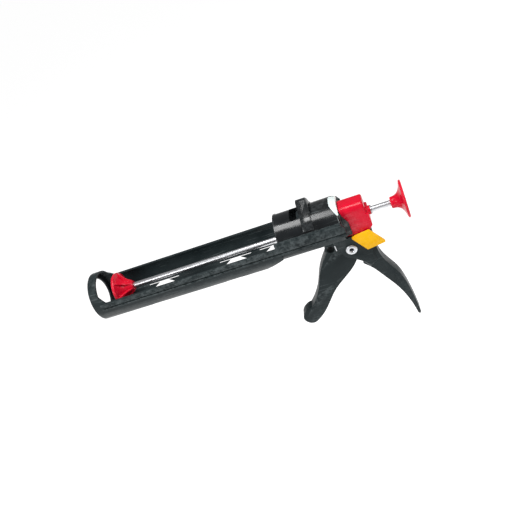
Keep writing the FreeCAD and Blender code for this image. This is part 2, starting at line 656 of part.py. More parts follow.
def make_knob():
    x0 = knob_x
    x1 = x0 + knob_len
    outline = [V(x0, 0, 0), V(x0, 0, knob_hub_r)]
    edges = [Part.makeLine(outline[0], outline[1])]
    flare = Part.BSplineCurve()
    flare.interpolate([
        V(x0, 0, knob_hub_r), V(x0 + 5.5, 0, knob_hub_r + 0.7), V(x0 + 9.5, 0, knob_hub_r + 3.4),
        V(x1 - knob_rim - 0.8, 0, 0.76 * knob_r), V(x1 - knob_rim + 0.4, 0, knob_r - 0.5),
    ])
    edges.append(flare.toShape())
    edges.append(Part.makeLine(V(x1 - knob_rim + 0.4, 0, knob_r - 0.5), V(x1 - knob_rim + 0.9, 0, knob_r)))
    edges.append(Part.makeLine(V(x1 - knob_rim + 0.9, 0, knob_r), V(x1 - 0.5, 0, knob_r)))
    edges.append(Part.makeLine(V(x1 - 0.5, 0, knob_r), V(x1, 0, knob_r - 0.6)))
    edges.append(Part.makeLine(V(x1, 0, knob_r - 0.6), V(x1, 0, knob_r - 2.4)))
    edges.append(Part.makeLine(V(x1, 0, knob_r - 2.4), V(x1 - 1.2, 0, knob_r - 3.8)))
    edges.append(Part.makeLine(V(x1 - 1.2, 0, knob_r - 3.8), V(x1 - 1.2, 0, 0)))
    edges.append(Part.makeLine(V(x1 - 1.2, 0, 0), V(x0, 0, 0)))
    face = Part.Face(Part.Wire(edges))
    body = face.revolve(V(0, 0, 0), V(1, 0, 0), 360)
    body = body.cut(cyl_x(rod_r + 0.02, x0 - 1, rod_x1))
    return body.cut(cyl_x(2.02, rod_x1 - 1, x1 + 2))


def make_knob_screw():
    x1 = knob_x + knob_len - 1.2
    cap = Part.makeCone(5.2, 4.0, 1.1, V(x1 + 0.02, 0, 0), V(1, 0, 0))
    stem = cyl_x(1.98, rod_x1 + 1.62, x1 + 0.5)
    return cap.fuse(stem)


save("cradle_frame", make_frame())
save("barrel_cover", make_cover())
save("slide_catch", make_catch())
save("tail_ring", make_tail())
save("bulkhead_plate", make_plate())
save("drive_housing", make_housing())
save("housing_screws", *make_housing_screws())
save("rear_bush", make_rear_bush())
save("front_bush", make_front_bush())
save("pivot_rivet", make_rivet())
save("pivot_washers", *make_washers())
save("trigger", make_trigger())
save("cutter_blade", make_cutter())
save("drive_plate", make_drive_plate())
save("return_spring", helix_spring(wall_x + wall_t + 1.5, drive_x0 - 0.1, spring_mean_r,
                                   spring_wire, return_turns))
save("catch_plate", make_catch_plate())
save("catch_spring", helix_spring(house_x0 + house_front + 0.1, catch_plate_x - 0.1,
                                  spring_mean_r - 0.6, 1.0, catch_turns))
save("release_lever", make_lever())
save("release_cam", make_cam())
save("push_rod", make_rod())
save("pusher_disc", make_pusher())
save("pusher_nut", make_pusher_nut())
save("pull_knob", make_knob())
save("knob_screw", make_knob_screw())
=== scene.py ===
"""Visual model of a skeleton caulking gun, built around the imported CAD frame.

+X runs rearward along the push rod, +Z is up and -Y is the gun's left side; all sizes are in metres.
"""
import json
import logging
import math
from dataclasses import dataclass
from enum import Enum
from typing import Dict, Sequence, Tuple

import bmesh
import bpy
from mathutils import Matrix, Vector

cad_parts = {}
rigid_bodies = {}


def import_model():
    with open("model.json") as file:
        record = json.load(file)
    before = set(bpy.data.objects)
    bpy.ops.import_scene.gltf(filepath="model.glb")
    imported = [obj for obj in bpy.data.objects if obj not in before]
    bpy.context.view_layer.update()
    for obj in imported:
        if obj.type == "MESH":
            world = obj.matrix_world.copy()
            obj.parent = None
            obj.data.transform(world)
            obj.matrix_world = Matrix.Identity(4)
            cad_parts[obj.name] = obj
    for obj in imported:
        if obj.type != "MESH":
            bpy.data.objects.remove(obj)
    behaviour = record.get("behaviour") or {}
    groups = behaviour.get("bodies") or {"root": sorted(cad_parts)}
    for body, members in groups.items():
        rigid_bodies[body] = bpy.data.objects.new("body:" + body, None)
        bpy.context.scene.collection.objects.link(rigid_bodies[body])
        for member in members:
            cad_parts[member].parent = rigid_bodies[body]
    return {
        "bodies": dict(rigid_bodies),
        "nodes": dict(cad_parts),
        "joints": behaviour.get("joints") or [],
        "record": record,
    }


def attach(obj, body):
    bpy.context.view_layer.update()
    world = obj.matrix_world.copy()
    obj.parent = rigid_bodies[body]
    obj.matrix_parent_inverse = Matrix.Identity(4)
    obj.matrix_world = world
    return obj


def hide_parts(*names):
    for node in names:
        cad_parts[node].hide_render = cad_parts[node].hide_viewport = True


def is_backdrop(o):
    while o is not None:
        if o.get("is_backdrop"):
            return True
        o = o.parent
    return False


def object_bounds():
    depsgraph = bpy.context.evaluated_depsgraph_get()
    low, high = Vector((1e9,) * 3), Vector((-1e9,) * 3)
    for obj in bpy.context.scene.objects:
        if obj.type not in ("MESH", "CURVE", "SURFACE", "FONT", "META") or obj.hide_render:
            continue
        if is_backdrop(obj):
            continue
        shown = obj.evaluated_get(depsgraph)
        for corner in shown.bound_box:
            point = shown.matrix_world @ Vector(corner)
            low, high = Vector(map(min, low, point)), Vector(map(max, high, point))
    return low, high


LOG = logging.getLogger("caulking_gun")
MM = 0.001
Colour = Tuple[float, float, float, float]
Place = Tuple[float, float, float]

DUST_COLOUR: Colour = (0.42, 0.41, 0.38, 1.0)
WELD = 0.002 * MM
FLAT_DEGREES = 1.0
ROD_BORE = 3.2
SCREW_BORE = 2.05


class Slot(Enum):
    """Material slots of the record."""

    BLACK = "black_plastic"
    SHELL = "black_shell"
    PLATE = "black_plate"
    RED = "red_plastic"
    NYLON = "natural_nylon"
    YELLOW = "yellow_plastic"
    BRIGHT = "bright_steel"
    STEEL = "plain_steel"
    SPRING = "spring_steel"


class Kind(Enum):
    """How a finish is put together."""

    PLASTIC = "plastic"
    METAL = "metal"


def new_group(name: str, inputs: Sequence[Tuple[str, str, float]],
              outputs: Sequence[Tuple[str, str]]) -> bpy.types.NodeTree:
    """Start a shader node group with named sockets.

    Args:
        name: Name of the group.
        inputs: Socket name, socket type and default value of each input.
        outputs: Socket name and socket type of each output.

    Returns:
        The empty group tree with its two end nodes.
    """
    tree = bpy.data.node_groups.new(name, "ShaderNodeTree")
    for label, kind, value in inputs:
        socket = tree.interface.new_socket(label, in_out="INPUT", socket_type=kind)
        socket.default_value = value
    for label, kind in outputs:
        tree.interface.new_socket(label, in_out="OUTPUT", socket_type=kind)
    tree.nodes.new("NodeGroupInput").name = "In"
    tree.nodes.new("NodeGroupOutput").name = "Out"
    return tree


def math_node(tree: bpy.types.NodeTree, operation: str, first: bpy.types.NodeSocket,
              second: object, clamp: bool = False) -> bpy.types.NodeSocket:
    """Add a Math node.

    Args:
        tree: Node tree to work in.
        operation: Blender's name of the operation.
        first: Socket that feeds the first value.
        second: Socket or number for the second value.
        clamp: Whether the result is held between 0 and 1.

    Returns:
        The result socket.
    """
    node = tree.nodes.new("ShaderNodeMath")
    node.operation = operation
    node.use_clamp = clamp
    tree.links.new(first, node.inputs[0])
    if isinstance(second, (int, float)):
        node.inputs[1].default_value = second
    else:
        tree.links.new(second, node.inputs[1])
    return node.outputs[0]


def noise(tree: bpy.types.NodeTree, vector: bpy.types.NodeSocket, scale: object,
          detail: float, roughness: float = 0.5) -> bpy.types.NodeSocket:
    """Add a Noise texture read in object space.

    Args:
        tree: Node tree to work in.
        vector: Socket with the object coordinates.
        scale: Number or socket for the scale, per metre.
        detail: Octaves of the noise.
        roughness: Weight of the finer octaves.

    Returns:
        The Fac socket.
    """
    node = tree.nodes.new("ShaderNodeTexNoise")
    node.inputs["Detail"].default_value = detail
    node.inputs["Roughness"].default_value = roughness
    if isinstance(scale, (int, float)):
        node.inputs["Scale"].default_value = scale
    else:
        tree.links.new(scale, node.inputs["Scale"])
    tree.links.new(vector, node.inputs["Vector"])
    return node.outputs["Fac"]


def remap(tree: bpy.types.NodeTree, value: bpy.types.NodeSocket, low: float, high: float,
          to_low: float = 0.0, to_high: float = 1.0) -> bpy.types.NodeSocket:
    """Map a value range to another with clamping.

    Args:
        tree: Node tree to work in.
        value: Socket to map.
        low: Input that gives to_low.
        high: Input that gives to_high.
        to_low: Lowest result.
        to_high: Highest result.

    Returns:
        The result socket.
    """
    node = tree.nodes.new("ShaderNodeMapRange")
    node.clamp = True
    node.inputs["From Min"].default_value = low
    node.inputs["From Max"].default_value = high
    node.inputs["To Min"].default_value = to_low
    node.inputs["To Max"].default_value = to_high
    tree.links.new(value, node.inputs["Value"])
    return node.outputs["Result"]


class SurfaceGroups:
    """The shared surface effects, each a node group built once."""

    def __init__(self) -> None:
        """Build every group."""
        self.wear = self._edge_wear()
        self.grain = self._mould_grain()
        self.scuff = self._scuffs()
        self.dust = self._dust()
        self.brush = self._brushing()

    def _edge_wear(self) -> bpy.types.NodeTree:
        """Mask of rubbed outer edges, broken up by noise.

        Returns:
            The group tree.
        """
        tree = new_group("edge_wear",
                         [("Amount", "NodeSocketFloat", 0.5), ("Scale", "NodeSocketFloat", 260.0)],
                         [("Mask", "NodeSocketFloat")])
        geometry = tree.nodes.new("ShaderNodeNewGeometry")
        place = tree.nodes.new("ShaderNodeTexCoord")
        edge = remap(tree, geometry.outputs["Pointiness"], 0.52, 0.60)
        grit = noise(tree, place.outputs["Object"], tree.nodes["In"].outputs["Scale"], 5.0, 0.65)
        broken = math_node(tree, "MULTIPLY", edge, remap(tree, grit, 0.42, 0.62), True)
        worn = math_node(tree, "MULTIPLY", broken, tree.nodes["In"].outputs["Amount"], True)
        tree.links.new(worn, tree.nodes["Out"].inputs["Mask"])
        return tree

    def _mould_grain(self) -> bpy.types.NodeTree:
        """Fine spark-eroded mould texture and slow waviness of the moulding.

        Returns:
            The group tree.
        """
        tree = new_group("mould_grain",
                         [("Scale", "NodeSocketFloat", 2600.0), ("Wave", "NodeSocketFloat", 0.6)],
                         [("Height", "NodeSocketFloat"), ("Tone", "NodeSocketFloat")])
        place = tree.nodes.new("ShaderNodeTexCoord")
        fine = noise(tree, place.outputs["Object"], tree.nodes["In"].outputs["Scale"], 3.0, 0.6)
        slow = noise(tree, place.outputs["Object"], 38.0, 2.0, 0.5)
        waves = math_node(tree, "MULTIPLY", slow, tree.nodes["In"].outputs["Wave"])
        height = math_node(tree, "ADD", math_node(tree, "MULTIPLY", fine, 0.22), waves)
        tree.links.new(height, tree.nodes["Out"].inputs["Height"])
        tree.links.new(remap(tree, slow, 0.30, 0.72), tree.nodes["Out"].inputs["Tone"])
        return tree

    def _scuffs(self) -> bpy.types.NodeTree:
        """Long thin handling scratches in two directions.

        Returns:
            The group tree.
        """
        tree = new_group("scuffs", [("Density", "NodeSocketFloat", 0.5)], [("Mask", "NodeSocketFloat")])
        place = tree.nodes.new("ShaderNodeTexCoord")
        total = None
        for turn, stretch in ((0.35, 46.0), (-0.55, 60.0)):
            mapping = tree.nodes.new("ShaderNodeMapping")
            mapping.inputs["Rotation"].default_value = (turn, turn * 0.6, turn)
            mapping.inputs["Scale"].default_value = (stretch * 0.4, stretch * 9.0, stretch * 9.0)
            tree.links.new(place.outputs["Object"], mapping.inputs["Vector"])
            line = remap(tree, noise(tree, mapping.outputs["Vector"], 1.0, 2.0), 0.635, 0.70)
            total = line if total is None else math_node(tree, "MAXIMUM", total, line)
        patch = remap(tree, noise(tree, place.outputs["Object"], 45.0, 3.0), 0.45, 0.62)
        mask = math_node(tree, "MULTIPLY", math_node(tree, "MULTIPLY", total, patch),
                         tree.nodes["In"].outputs["Density"], True)
        tree.links.new(mask, tree.nodes["Out"].inputs["Mask"])
        return tree

    def _dust(self) -> bpy.types.NodeTree:
        """Thin workshop dust on upward faces and in blotches.

        Returns:
            The group tree.
        """
        tree = new_group("dust", [("Amount", "NodeSocketFloat", 0.4)], [("Mask", "NodeSocketFloat")])
        geometry = tree.nodes.new("ShaderNodeNewGeometry")
        place = tree.nodes.new("ShaderNodeTexCoord")
        axis = tree.nodes.new("ShaderNodeSeparateXYZ")
        tree.links.new(geometry.outputs["Normal"], axis.inputs["Vector"])
        upward = remap(tree, axis.outputs["Z"], 0.0, 0.95, 0.25, 1.0)
        blotch = remap(tree, noise(tree, place.outputs["Object"], 90.0, 6.0, 0.68), 0.44, 0.72)
        dusty = math_node(tree, "MULTIPLY", upward, blotch)
        mask = math_node(tree, "MULTIPLY", dusty, tree.nodes["In"].outputs["Amount"], True)
        tree.links.new(mask, tree.nodes["Out"].inputs["Mask"])
        return tree

    def _brushing(self) -> bpy.types.NodeTree:
        """Fine draw lines along X with faint tarnish.

        Returns:
            The group tree.
        """
        tree = new_group("draw_lines", [("Scale", "NodeSocketFloat", 1500.0)],
                         [("Height", "NodeSocketFloat"), ("Tone", "NodeSocketFloat")])
        place = tree.nodes.new("ShaderNodeTexCoord")
        mapping = tree.nodes.new("ShaderNodeMapping")
        mapping.inputs["Scale"].default_value = (0.03, 1.0, 1.0)
        tree.links.new(place.outputs["Object"], mapping.inputs["Vector"])
        lines = noise(tree, mapping.outputs["Vector"], tree.nodes["In"].outputs["Scale"], 2.0)
        tree.links.new(lines, tree.nodes["Out"].inputs["Height"])
        tarnish = remap(tree, noise(tree, place.outputs["Object"], 70.0, 5.0, 0.6), 0.38, 0.70)
        tree.links.new(tarnish, tree.nodes["Out"].inputs["Tone"])
        return tree


@dataclass(frozen=True)
class Finish:
    """One surface finish of the gun.

    Colours are linear and depths are in metres. Grain scale counts noise cells per metre, and
    wave is only used by plastics. The other amounts run from 0 to 1.
    """

    slot: Slot
    kind: Kind
    base: Colour
    shade: Colour
    worn: Colour
    roughness: float
    spread: float = 0.08
    grain_scale: float = 2600.0
    grain_depth: float = 0.00006
    wave: float = 0.6
    wear: float = 0.5
    scuffs: float = 0.5
    dust: float = 0.3
    sss: float = 0.0
    specular: float = 0.5

    def build(self, groups: SurfaceGroups) -> bpy.types.Material:
        """Make the material.

        Args:
            groups: The shared effect groups.

        Returns:
            The finished material.
        """
        material = bpy.data.materials.new("finish_" + self.slot.value)
        material.use_nodes = True
        tree = material.node_tree
        shader = tree.nodes["Principled BSDF"]
        surface = self._group(tree, groups.grain if self.kind is Kind.PLASTIC else groups.brush)
        surface.inputs["Scale"].default_value = self.grain_scale
        if self.kind is Kind.PLASTIC:
            surface.inputs["Wave"].default_value = self.wave
        wear = self._group(tree, groups.wear)
        wear.inputs["Amount"].default_value = self.wear
        scuff = self._group(tree, groups.scuff)
        scuff.inputs["Density"].default_value = self.scuffs
        dust = self._group(tree, groups.dust)
        dust.inputs["Amount"].default_value = self.dust
        tone = self._mix(tree, surface.outputs["Tone"], self.base, self.shade)
        rubbed = self._mix(tree, wear.outputs["Mask"], tone, self.worn)
        scratched = self._mix(tree, scuff.outputs["Mask"], rubbed, self.worn)
        colour = self._mix(tree, dust.outputs["Mask"], scratched, DUST_COLOUR)
        tree.links.new(colour, shader.inputs["Base Color"])
        rough = remap(tree, surface.outputs["Tone"], 0.0, 1.0,
                      self.roughness - self.spread * 0.5, self.roughness + self.spread)
        rough = math_node(tree, "ADD", rough, math_node(tree, "MULTIPLY", dust.outputs["Mask"], 0.35))
        rough = math_node(tree, "ADD", rough, math_node(tree, "MULTIPLY", scuff.outputs["Mask"], 0.18), True)
        tree.links.new(rough, shader.inputs["Roughness"])
        bump = tree.nodes.new("ShaderNodeBump")
        bump.inputs["Distance"].default_value = self.grain_depth
        bump.inputs["Strength"].default_value = 0.7
        cut = math_node(tree, "SUBTRACT", surface.outputs["Height"],
                        math_node(tree, "MULTIPLY", scuff.outputs["Mask"], 0.4))
        tree.links.new(cut, bump.inputs["Height"])
        tree.links.new(bump.outputs["Normal"], shader.inputs["Normal"])
        shader.inputs["Metallic"].default_value = 1.0 if self.kind is Kind.METAL else 0.0
        shader.inputs["Specular IOR Level"].default_value = self.specular
        if self.sss > 0.0:
            shader.inputs["Subsurface Weight"].default_value = self.sss
            shader.inputs["Subsurface Radius"].default_value = (1.0, 0.9, 0.8)
            shader.inputs["Subsurface Scale"].default_value = 0.002
        return material

    @staticmethod
    def _group(tree: bpy.types.NodeTree, group: bpy.types.NodeTree) -> bpy.types.ShaderNodeGroup:
        """Place a shared group in the material.

        Args:
            tree: Node tree of the material.
            group: Shared group to place.

        Returns:
            The new group node.
        """
        node = tree.nodes.new("ShaderNodeGroup")
        node.node_tree = group
        return node

    @staticmethod
    def _mix(tree: bpy.types.NodeTree, factor: bpy.types.NodeSocket, first: object,
             second: object) -> bpy.types.NodeSocket:
        """Mix two colours.

        Args:
            tree: Node tree to work in.
            factor: Mask socket.
            first: Colour or socket shown where the mask is 0.
            second: Colour or socket shown where the mask is 1.

        Returns:
            The colour socket.
        """
        node = tree.nodes.new("ShaderNodeMix")
        node.data_type = "RGBA"
        tree.links.new(factor, node.inputs["Factor"])
        for name, value in (("A", first), ("B", second)):
            socket = [s for s in node.inputs if s.name == name and s.type == "RGBA"][0]
            if isinstance(value, tuple):
                socket.default_value = value
            else:
                tree.links.new(value, socket)
        return [s for s in node.outputs if s.type == "RGBA"][0]


FINISHES: Tuple[Finish, ...] = (
    Finish(slot=Slot.BLACK, kind=Kind.PLASTIC,
           base=(0.0100, 0.0150, 0.0165, 1), shade=(0.0190, 0.0275, 0.0295, 1), worn=(0.12, 0.14, 0.145, 1),
           roughness=0.36, spread=0.12, grain_scale=1900.0, grain_depth=0.12 * MM,
           wave=0.9, wear=0.45, scuffs=0.4, dust=0.01, specular=0.12),
    Finish(slot=Slot.SHELL, kind=Kind.PLASTIC,
           base=(0.0040, 0.0050, 0.0060, 1), shade=(0.0085, 0.0105, 0.0120, 1), worn=(0.14, 0.155, 0.16, 1),
           roughness=0.17, spread=0.08, grain_scale=2400.0, grain_depth=0.06 * MM,
           wave=1.0, wear=0.6, scuffs=0.3, dust=0.006, specular=0.36),
    Finish(slot=Slot.PLATE, kind=Kind.PLASTIC,
           base=(0.003, 0.0035, 0.004, 1), shade=(0.006, 0.007, 0.008, 1), worn=(0.22, 0.22, 0.22, 1),
           roughness=0.34, spread=0.1, grain_scale=3000.0, grain_depth=0.04 * MM,
           wave=0.3, wear=0.5, scuffs=0.3, dust=0.01, specular=0.25),
    Finish(slot=Slot.RED, kind=Kind.PLASTIC,
           base=(0.64, 0.0035, 0.026, 1), shade=(0.56, 0.0025, 0.020, 1), worn=(0.86, 0.14, 0.18, 1),
           roughness=0.2, spread=0.08, grain_scale=2800.0, grain_depth=0.04 * MM,
           wave=1.0, wear=0.3, scuffs=0.25, dust=0.003, sss=0.02, specular=0.17),
    Finish(slot=Slot.NYLON, kind=Kind.PLASTIC,
           base=(0.72, 0.80, 0.78, 1), shade=(0.66, 0.74, 0.72, 1), worn=(0.92, 0.92, 0.9, 1),
           roughness=0.36, spread=0.1, grain_scale=2200.0, grain_depth=0.05 * MM,
           wave=0.5, wear=0.3, scuffs=0.25, dust=0.02, sss=0.25),
    Finish(slot=Slot.YELLOW, kind=Kind.PLASTIC,
           base=(0.82, 0.45, 0.003, 1), shade=(0.78, 0.39, 0.002, 1), worn=(0.98, 0.72, 0.25, 1),
           roughness=0.34, spread=0.1, grain_scale=2400.0, grain_depth=0.05 * MM,
           wave=0.7, wear=0.4, scuffs=0.35, dust=0.004, sss=0.02, specular=0.08),
    Finish(slot=Slot.BRIGHT, kind=Kind.METAL,
           base=(0.66, 0.67, 0.69, 1), shade=(0.52, 0.53, 0.55, 1), worn=(0.88, 0.88, 0.88, 1),
           roughness=0.36, spread=0.08, grain_scale=1500.0, grain_depth=0.002 * MM,
           wear=0.3, scuffs=0.3, dust=0.01),
    Finish(slot=Slot.STEEL, kind=Kind.METAL,
           base=(0.50, 0.51, 0.53, 1), shade=(0.38, 0.38, 0.39, 1), worn=(0.8, 0.8, 0.8, 1),
           roughness=0.34, spread=0.14, grain_scale=1200.0, grain_depth=0.03 * MM,
           wear=0.4, scuffs=0.5, dust=0.03),
    Finish(slot=Slot.SPRING, kind=Kind.METAL,
           base=(0.42, 0.43, 0.45, 1), shade=(0.32, 0.32, 0.33, 1), worn=(0.7, 0.7, 0.7, 1),
           roughness=0.3, spread=0.12, grain_scale=1800.0, grain_depth=0.02 * MM,
           wear=0.3, scuffs=0.3, dust=0.02),
)


def shade_by_angle(piece: bpy.types.Object, degrees: float) -> None:
    """Smooth the faces and keep edges sharper than an angle.

    Args:
        piece: Mesh object.
        degrees: Edges that turn more than this stay sharp.
    """
    form = bmesh.new()
    form.from_mesh(piece.data)
    for face in form.faces:
        face.smooth = True
    for edge in form.edges:
        if len(edge.link_faces) == 2:
            edge.smooth = edge.calc_face_angle(0.0) < math.radians(degrees)
    form.to_mesh(piece.data)
    form.free()


def piece_from(name: str, form: bmesh.types.BMesh) -> bpy.types.Object:
    """Turn a bmesh into a scene object at the origin.

    Args:
        name: Name of the piece.
        form: Finished bmesh, freed here.

    Returns:
        The new object.
    """
    mesh = bpy.data.meshes.new(name)
    form.to_mesh(mesh)
    form.free()
    piece = bpy.data.objects.new(name, mesh)
    bpy.context.scene.collection.objects.link(piece)
    return piece


def in_metres(origin: float, points: Sequence[Tuple[float, float]]) -> Sequence[Tuple[float, float]]:
    """Turn an outline in millimetres into metres, shifted along its axis.

    Args:
        origin: Shift along the axis, in metres.
        points: Place along the axis and radius of each point, in millimetres.

    Returns:
        The same points in metres.
    """
    return [(origin + along * MM, radius * MM) for along, radius in points]


def turned(name: str, profile: Sequence[Tuple[float, float]], segments: int,
           axis: Vector = Vector((1, 0, 0)), centre: Vector = Vector((0, 0, 0))) -> bpy.types.Object:
    """Spin a profile about an axis through a centre.

    Args:
        name: Name of the piece.
        profile: Along-axis position and radius of each point, in metres; closed by the caller.
        segments: Steps of the full turn.
        axis: Direction of the spin axis.
        centre: Point on the axis.

    Returns:
        The new object.
    """
    across = Vector((0, 0, 1))
    form = bmesh.new()
    points = [form.verts.new(centre + axis * along + across * radius) for along, radius in profile]
    edges = [form.edges.new((first, second)) for first, second in zip(points[:-1], points[1:])]
    bmesh.ops.spin(form, geom=points + edges, cent=centre, axis=axis, angle=math.tau,
                   steps=segments, use_merge=True, use_duplicate=False)
    bmesh.ops.remove_doubles(form, verts=form.verts, dist=1e-6)
    bmesh.ops.recalc_face_normals(form, faces=form.faces)
    return piece_from(name, form)


class Workshop:
    """Holds the loaded frame and the finishes, and dresses the pieces."""

    def __init__(self) -> None:
        """Load the frame and build every finish."""
        self.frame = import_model()
        self.cad_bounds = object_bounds()
        groups = SurfaceGroups()
        self.finishes: Dict[Slot, bpy.types.Material] = {f.slot: f.build(groups) for f in FINISHES}
        self.body_of: Dict[str, str] = {}
        for body, nodes in self.frame["record"]["behaviour"]["bodies"].items():
            for node in nodes:
                self.body_of[node] = body

    def dress(self, piece: bpy.types.Object, slot: Slot) -> None:
        """Give a piece its finish.

        Args:
            piece: Mesh object.
            slot: Finish to use.
        """
        if not piece.data.materials:
            piece.data.materials.append(self.finishes[slot])
        for index in range(len(piece.data.materials)):
            piece.data.materials[index] = self.finishes[slot]
        for mat_slot in piece.material_slots:
            mat_slot.material = self.finishes[slot]

    def place(self, piece: bpy.types.Object, node: str, slot: Slot) -> None:
        """Let a new piece stand for a CAD node and ride on its body.

        Args:
            piece: The new piece.
            node: CAD node that it replaces.
            slot: Finish to use.
        """
        self.dress(piece, slot)
        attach(piece, self.body_of[node])
        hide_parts(node)
        LOG.info("%s: %d faces, stands for %s", piece.name, len(piece.data.polygons), node)

    def keep(self, node: str, slot: Slot) -> None:
        """Keep a CAD node and give it its finish.

        Args:
            node: CAD node to keep.
            slot: Finish to use.
        """
        self.dress(self.frame["nodes"][node], slot)
        LOG.info("%s kept as %s", node, slot.value)

    def soften(self, node: str, name: str, slot: Slot, width: float, segments: int = 2,
               sharp: float = 32.0) -> None:
        """Stand a copy with rounded edges in for a CAD node.

        Args:
            node: CAD node to copy.
            name: Name of the new piece.
            slot: Finish to use.
            width: Width of the rounded edge, in metres.
            segments: Steps across the rounding.
            sharp: Edges that turn more than this many degrees are rounded.
        """
        form = bmesh.new()
        form.from_mesh(self.frame["nodes"][node].data)
        bmesh.ops.remove_doubles(form, verts=form.verts, dist=WELD)
        bmesh.ops.dissolve_degenerate(form, dist=WELD, edges=form.edges)
        bmesh.ops.dissolve_limit(form, angle_limit=math.radians(FLAT_DEGREES), use_dissolve_boundaries=False,
                                 verts=form.verts, edges=form.edges)
        edges = [edge for edge in form.edges if len(edge.link_faces) == 2
                 and edge.calc_face_angle(0.0) > math.radians(sharp)]
        bmesh.ops.bevel(form, geom=edges, offset=width, offset_type="OFFSET", segments=segments,
                        profile=0.5, affect="EDGES", clamp_overlap=True, material=-1)
        piece = piece_from(name, form)
        shade_by_angle(piece, 38.0)
        self.place(piece, node, slot)


@dataclass
class Pusher:
    """The red ribbed pusher at the front of the rod."""

    front: float = 25.0 * MM
    rim: float = 19.8 * MM
    length: float = 19.0 * MM
    rim_depth: float = 3.4 * MM
    ribs: int = 6
    rib_half: float = 1.0 * MM
    rib_edge: float = 0.35 * MM

    def build(self, shop: Workshop) -> None:
        """Spin the dished body, add the ribs and dress it.

        Args:
            shop: Frame and finishes.
        """
        body = turned("pusher_body", in_metres(self.front, self._outline()), 72)
        form = bmesh.new()
        form.from_mesh(body.data)
        step = 360.0 / self.ribs
        for index in range(self.ribs):
            self._add_rib(form, Matrix.Rotation(math.radians(step * index + step / 2), 3, "X"))
        form.to_mesh(body.data)
        form.free()
        shade_by_angle(body, 40.0)
        shop.place(body, "pusher_disc", Slot.RED)

    def _outline(self) -> Sequence[Tuple[float, float]]:
        """Give the closed outline of the dished body.

        Returns:
            Place behind the front face and radius of each point, in millimetres.
        """
        rim, end, back = self.rim / MM, self.length / MM, self.rim_depth / MM
        return [
            (2.4, SCREW_BORE), (2.4, 7.4), (2.2, 7.6), (0.3, 7.9), (0.0, 8.3), (0.0, rim - 1.3),
            (0.3, rim - 0.5), (0.9, rim - 0.06), (1.5, rim), (2.8, rim), (3.3, rim - 0.35),
            (back + 0.1, rim - 1.2), (back + 0.4, rim - 2.9), (4.8, 14.6), (6.2, 12.2), (8.2, 9.7),
            (11.0, 7.8), (14.5, 6.5), (end - 0.9, 5.7), (end - 0.2, 5.3), (end, 4.7), (end, ROD_BORE),
            (3.2, ROD_BORE), (3.2, SCREW_BORE), (2.4, SCREW_BORE),
        ]

    def _add_rib(self, form: bmesh.types.BMesh, turn: Matrix) -> None:
        """Add one rib with rounded edges behind the dish.

        Args:
            form: Mesh of the pusher, added to in place.
            turn: Turn of the rib about the rod's axis.
        """
        rim, end = self.rim / MM, self.length / MM
        corners = in_metres(self.front, [
            (3.0, 8.5), (3.2, rim - 1.2), (6.0, 16.4), (9.0, 12.9), (13.0, 9.2),
            (end - 1.2, 6.4), (end - 1.2, 4.6), (6.0, 6.2),
        ])
        ring = [form.verts.new(turn @ Vector((x, -self.rib_half, r))) for x, r in corners]
        face = form.faces.new(ring)
        pulled = bmesh.ops.extrude_face_region(form, geom=[face])
        moved = [item for item in pulled["geom"] if isinstance(item, bmesh.types.BMVert)]
        bmesh.ops.translate(form, verts=moved, vec=turn @ Vector((0, 2 * self.rib_half, 0)))
        island = set(ring + moved)
        rims = [e for e in form.edges if e.verts[0] in island and e.verts[1] in island]
        bmesh.ops.recalc_face_normals(form, faces=[f for f in form.faces if set(f.verts) <= island])
        bmesh.ops.bevel(form, geom=rims, offset=self.rib_edge, offset_type="OFFSET", segments=2,
                        profile=0.5, affect="EDGES", clamp_overlap=True, material=-1)


@dataclass
class Knob:
    """The red trumpet-shaped pull knob."""

    front: float = 343.0 * MM
    hub: float = 6.2 * MM
    rim: float = 20.3 * MM
    length: float = 15.6 * MM

    def build(self, shop: Workshop) -> None:
        """Spin the trumpet and dress it.

        Args:
            shop: Frame and finishes.
        """
        rim, hub, end = self.rim / MM, self.hub / MM, self.length / MM
        seat = end - 3.05
        outline = [
            (seat, ROD_BORE), (0.0, ROD_BORE), (0.0, 5.3), (0.25, 5.9), (0.9, hub), (3.2, 6.35),
            (5.5, 6.8), (7.6, 7.9), (9.3, 9.5), (10.8, 12.0), (11.9, 15.0), (12.7, 18.2), (13.1, 19.6),
            (13.5, 20.15), (14.1, rim), (14.8, rim), (15.3, 20.0), (end, 19.4), (end, 18.4),
            (end - 0.4, 17.4), (end - 1.1, 16.4), (end - 1.2, 15.6), (end - 1.2, SCREW_BORE),
            (seat, SCREW_BORE), (seat, ROD_BORE),
        ]
        piece = turned("knob_trumpet", in_metres(self.front, outline), 96)
        shade_by_angle(piece, 40.0)
        shop.place(piece, "pull_knob", Slot.RED)


@dataclass
class Rivet:
    """The tubular pivot rivet with rolled heads."""

    x: float = 289.7 * MM
    z: float = -34.8 * MM
    cheek: float = 10.02 * MM
    shank: float = 4.0 * MM
    head: float = 6.2 * MM
    bore: float = 2.1 * MM

    def build(self, shop: Workshop) -> None:
        """Spin the rivet about the pivot and dress it.

        Args:
            shop: Frame and finishes.
        """
        cheek, shank, head, bore = (size / MM for size in (self.cheek, self.shank, self.head, self.bore))
        half = in_metres(0.0, [
            (0.0, shank), (cheek, shank), (cheek, head - 0.3), (cheek + 0.35, head),
            (cheek + 0.8, head - 0.2), (cheek + 1.35, 5.1), (cheek + 1.6, 4.1), (cheek + 1.55, 3.2),
            (cheek + 1.1, 2.5), (cheek + 0.3, bore + 0.05), (0.0, bore),
        ])
        mirrored = [(-along, radius) for along, radius in reversed(half[1:-1])]
        piece = turned("pivot_rivet_rolled", half + mirrored + half[:1], 48,
                       Vector((0, 1, 0)), Vector((self.x, 0, self.z)))
        shade_by_angle(piece, 45.0)
        shop.place(piece, "pivot_rivet", Slot.BRIGHT)


